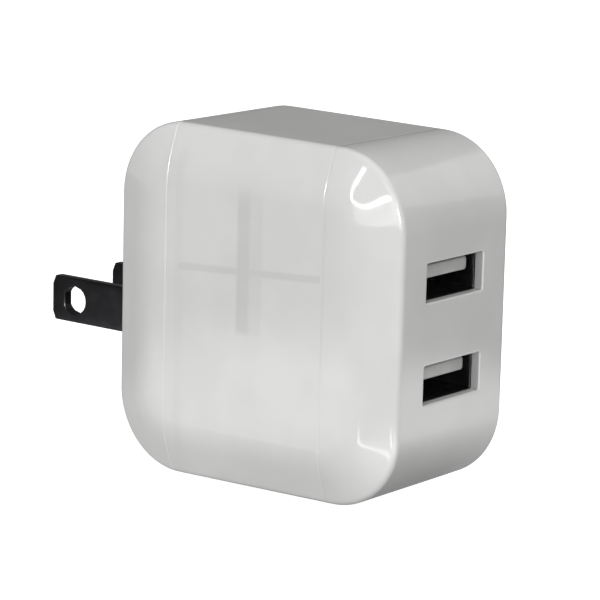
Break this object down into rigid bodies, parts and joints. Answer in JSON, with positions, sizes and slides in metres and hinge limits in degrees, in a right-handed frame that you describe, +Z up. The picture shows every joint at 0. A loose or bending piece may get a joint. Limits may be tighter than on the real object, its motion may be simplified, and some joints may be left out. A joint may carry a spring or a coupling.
{
  "type": "usb wall charger",
  "caption": "Compact wall charger with a rounded square casing, two stacked USB-A ports on its narrow front face and flat mains prongs that fold up into its rear face.",
  "frame": {"origin": "centre of the flat wall face, at mid-thickness and mid-height of the casing", "axes": "+Y out of the wall face along the prongs, +Z up, +X across the thickness; the USB ports face -Y"},
  "size_m": [0.028, 0.0638, 0.048],
  "materials": {
    "casing_white": "glossy moulded polycarbonate",
    "prong_metal": "dark nickel plate on brass",
    "dark_plastic": "moulded thermoset",
    "inner_plastic": "moulded nylon",
    "tongue_plastic": "moulded white insulator",
    "spring_steel": "rolled strip",
    "port_steel": "nickel-plated sheet",
    "contact_brass": "gold-flashed strip",
    "wire_black": "extruded insulation",
    "wire_red": "extruded insulation",
    "board_laminate": "solder-masked laminate",
    "component_tan": "lacquered ceramic",
    "ceramic_blue": "dipped ceramic",
    "can_aluminium": "sleeved can",
    "ferrite": "sintered",
    "bobbin_plastic": "moulded phenolic",
    "winding_copper": "enamelled wire under tape"
  },
  "bodies": {
    "charger": {"front_cap": "casing_white", "centre_sleeve": "casing_white", "rear_housing": "casing_white", "prong_retainer": "inner_plastic", "detent_spring": "spring_steel", "contact_spring_left": "contact_brass", "contact_spring_right": "contact_brass", "mains_wire_left": "wire_black", "mains_wire_right": "wire_red", "main_board": "board_laminate", "insulation_sheet": "inner_plastic", "fuse_resistor": "component_tan", "bridge_rectifier": "dark_plastic", "filter_choke": "winding_copper", "input_capacitor_rear": "can_aluminium", "input_capacitor_front": "can_aluminium", "controller_chip": "dark_plastic", "transformer_core_upper": "ferrite", "transformer_core_lower": "ferrite", "transformer_bobbin": "bobbin_plastic", "transformer_winding": "winding_copper", "transformer_pins": "spring_steel", "optocoupler": "inner_plastic", "safety_capacitor": "ceramic_blue", "output_diode": "dark_plastic", "output_capacitor_upper": "can_aluminium", "output_capacitor_lower": "can_aluminium", "port_board": "board_laminate", "board_link": "contact_brass", "port_chip": "dark_plastic", "usb_shell_upper": "port_steel", "usb_insulator_upper": "tongue_plastic", "usb_contacts_upper": "contact_brass", "usb_shell_lower": "port_steel", "usb_insulator_lower": "tongue_plastic", "usb_contacts_lower": "contact_brass"},
    "prongs": {"prong_left": "prong_metal", "prong_right": "prong_metal", "prong_spindle": "dark_plastic"}
  },
  "joints": [
    {"name": "prong_fold", "type": "hinge", "parent": "charger", "child": "prongs", "pos_m": [0, -0.004, -0.0042], "axis": [1, 0, 0], "range_deg": [0, 90]}
  ]
}
